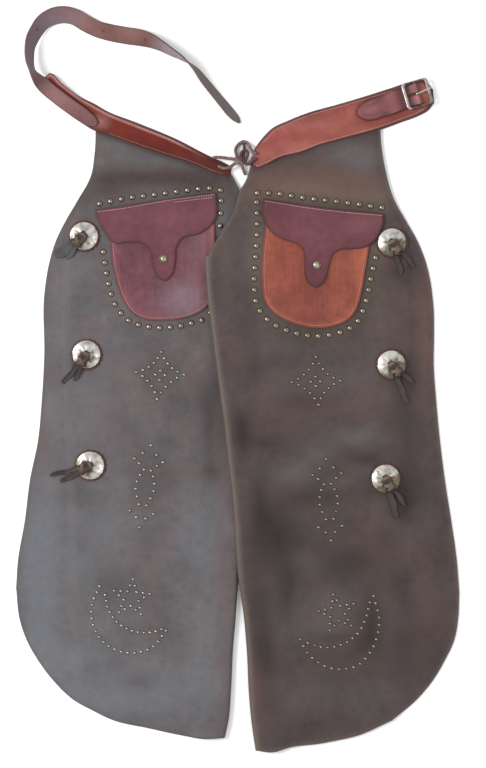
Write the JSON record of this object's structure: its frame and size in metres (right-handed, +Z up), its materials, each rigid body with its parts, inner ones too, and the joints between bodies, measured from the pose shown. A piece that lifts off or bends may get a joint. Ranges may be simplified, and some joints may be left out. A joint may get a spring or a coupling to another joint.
{
  "type": "leather riding chaps laid flat",
  "caption": "Batwing riding chaps in oiled leather, laid flat and front up, with a buckled belt, studded flap pockets, studded ornaments and conchos with tied thongs.",
  "frame": {"origin": "on the ground under the middle of the laid-out chaps' extents", "axes": "+X to the side with the buckle, +Y towards the belt, +Z up off the ground"},
  "size_m": [0.709, 1.1919, 0.035],
  "materials": {
    "leg_leather_left": "oiled, mottled grey-brown, smooth side out",
    "leg_leather_right": "oiled, mottled grey-brown with red-brown patches, smooth side out",
    "belt_leather_left": "oiled red-brown, half glossy",
    "belt_leather_right": "oiled orange-red, satin",
    "lining_leather": "dark brown, matt",
    "strap_leather": "oiled brown-red, satin, grey flesh side",
    "pocket_leather_left": "oiled dull red, satin",
    "pocket_leather_right": "oiled orange-brown, satin",
    "flap_leather": "oiled burgundy, satin",
    "thong_leather": "latigo, dark grey-brown, matt",
    "rosette_leather": "dark red-brown, matt",
    "concho_metal": "polished nickel silver",
    "buckle_metal": "polished nickel plate, lightly worn",
    "snap_metal": "antique brass",
    "stud_metal": "antique brass with nickel glints",
    "stitching": "waxed beige thread"
  },
  "bodies": {
    "chaps": {"belt_face_left": "belt_leather_left", "belt_face_right": "belt_leather_right", "belt_lining_left": "lining_leather", "belt_lining_right": "lining_leather", "belt_strap": "strap_leather", "buckle_chape": "belt_leather_right", "buckle_frame": "buckle_metal", "concho_left_bottom": "concho_metal", "concho_left_middle": "concho_metal", "concho_left_top": "concho_metal", "concho_right_bottom": "concho_metal", "concho_right_middle": "concho_metal", "concho_right_top": "concho_metal", "front_lace": "thong_leather", "leg_left": "leg_leather_left", "leg_right": "leg_leather_right", "pocket_flap_left": "flap_leather", "pocket_flap_right": "flap_leather", "pocket_left": "pocket_leather_left", "pocket_right": "pocket_leather_right", "pocket_snap_left": "snap_metal", "pocket_snap_right": "snap_metal", "rosette_left_bottom": "rosette_leather", "rosette_left_middle": "rosette_leather", "rosette_left_top": "rosette_leather", "rosette_right_bottom": "rosette_leather", "rosette_right_middle": "rosette_leather", "rosette_right_top": "rosette_leather", "thong_left_bottom": "thong_leather", "thong_left_middle": "thong_leather", "thong_left_top": "thong_leather", "thong_right_bottom": "thong_leather", "thong_right_middle": "thong_leather", "thong_right_top": "thong_leather"},
    "prong": {"buckle_prong": "buckle_metal"}
  },
  "joints": [
    {"name": "prong_hinge", "type": "hinge", "parent": "chaps", "child": "prong", "pos_m": [0.286, 0.455, 0.0093], "axis": [0.2807, -0.9598, 0], "range_deg": [0, 130]}
  ]
}
